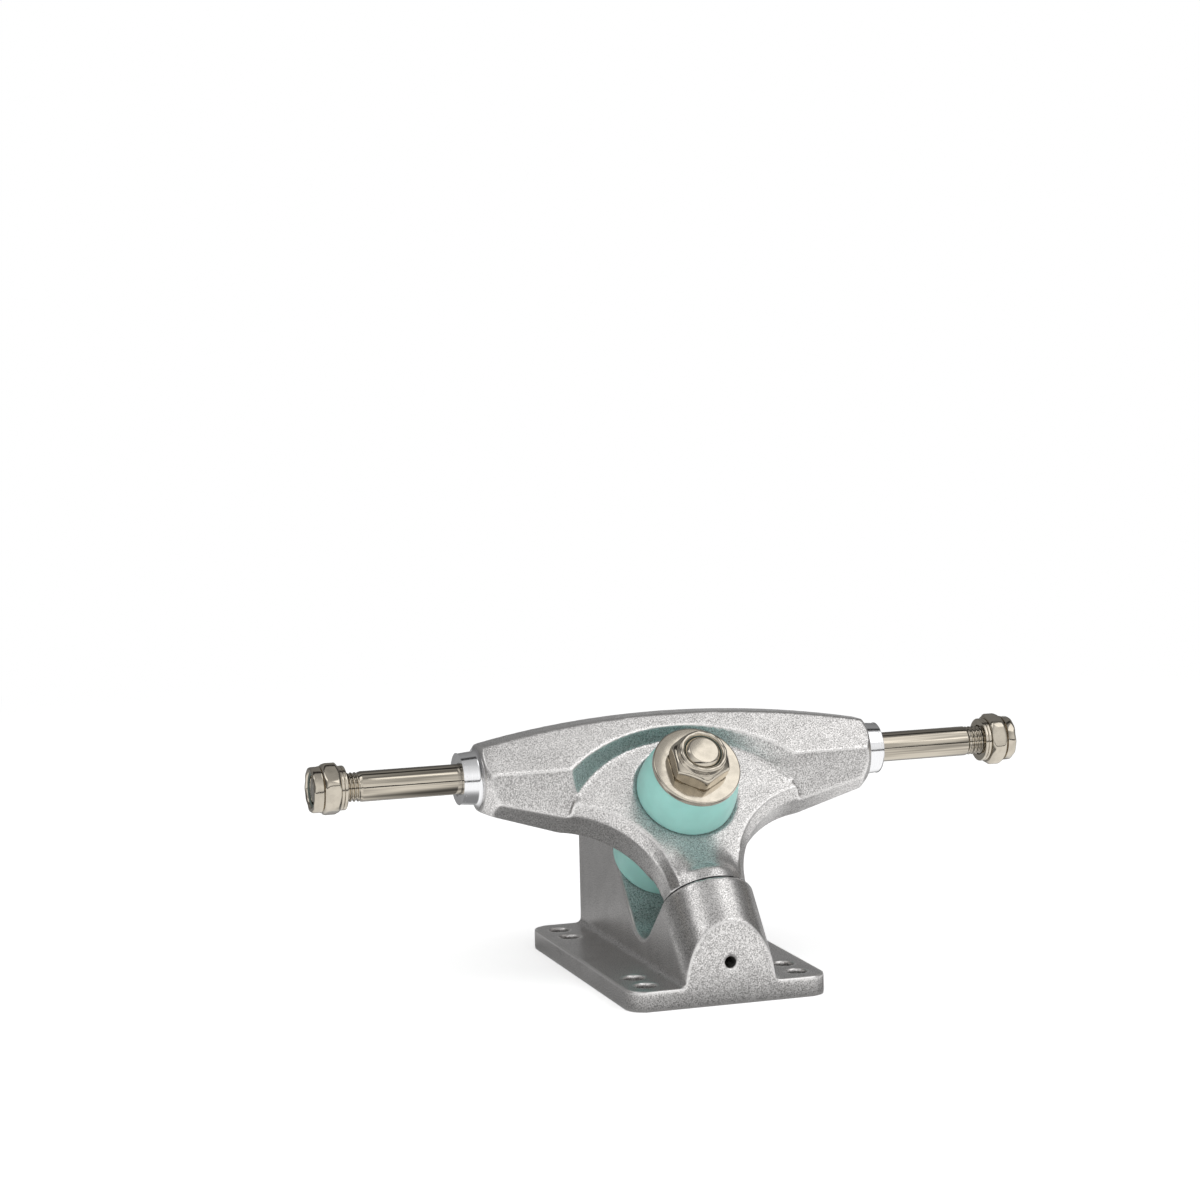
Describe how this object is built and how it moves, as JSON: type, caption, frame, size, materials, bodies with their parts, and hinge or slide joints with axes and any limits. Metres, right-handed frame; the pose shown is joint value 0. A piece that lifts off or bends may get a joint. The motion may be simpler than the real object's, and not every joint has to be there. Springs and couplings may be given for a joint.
{
  "type": "skateboard truck",
  "caption": "Skateboard truck: cast baseplate with a slanted kingpin, urethane bushings and a steering hanger that carries a threaded axle with locking nuts.",
  "frame": {"origin": "centre of the deck bolt pattern on the underside of the baseplate", "axes": "+X along the axle, +Y from the pivot side towards the rear of the kingpin block, +Z away from the deck"},
  "size_m": [0.196, 0.088, 0.0693],
  "materials": {
    "cast_metal": "tumbled cast metal, fine speckle",
    "nickel": "warm nickel plating, polished",
    "urethane": "smooth cast urethane",
    "black_urethane": "smooth black urethane",
    "nylon": "dull nylon"
  },
  "bodies": {
    "base": {"baseplate": "cast_metal", "pivot_cup": "black_urethane", "kingpin": "nickel", "kingpin_nut": "nickel", "kingpin_nut_insert": "nylon", "outer_washer": "nickel", "outer_bushing": "urethane", "inner_bushing": "urethane"},
    "hanger": {"hanger": "cast_metal", "axle": "nickel"},
    "left_nut": {"left_axle_nut": "nickel", "left_nut_insert": "nylon"},
    "left_washers": {"left_inner_washer": "nickel", "left_outer_washer": "nickel"},
    "right_nut": {"right_axle_nut": "nickel", "right_nut_insert": "nylon"},
    "right_washers": {"right_inner_washer": "nickel", "right_outer_washer": "nickel"}
  },
  "joints": [
    {"name": "steer", "type": "hinge", "parent": "base", "child": "hanger", "pos_m": [0, -0.0065, 0.0452], "axis": [0, 0.6691, 0.7431], "range_deg": [-20, 20], "stiffness_Nm_per_rad": 30, "deforming": ["inner_bushing", "outer_bushing"]},
    {"name": "left_nut_travel", "type": "slide", "parent": "hanger", "child": "left_nut", "axis": [-1, 0, 0], "range_m": [0, 0.06]},
    {"name": "left_washer_travel", "type": "slide", "parent": "left_nut", "child": "left_washers", "axis": [1, 0, 0], "range_m": [0, 0.0299]},
    {"name": "right_nut_travel", "type": "slide", "parent": "hanger", "child": "right_nut", "axis": [1, 0, 0], "range_m": [0, 0.06]},
    {"name": "right_washer_travel", "type": "slide", "parent": "right_nut", "child": "right_washers", "axis": [-1, 0, 0], "range_m": [0, 0.0299]}
  ]
}
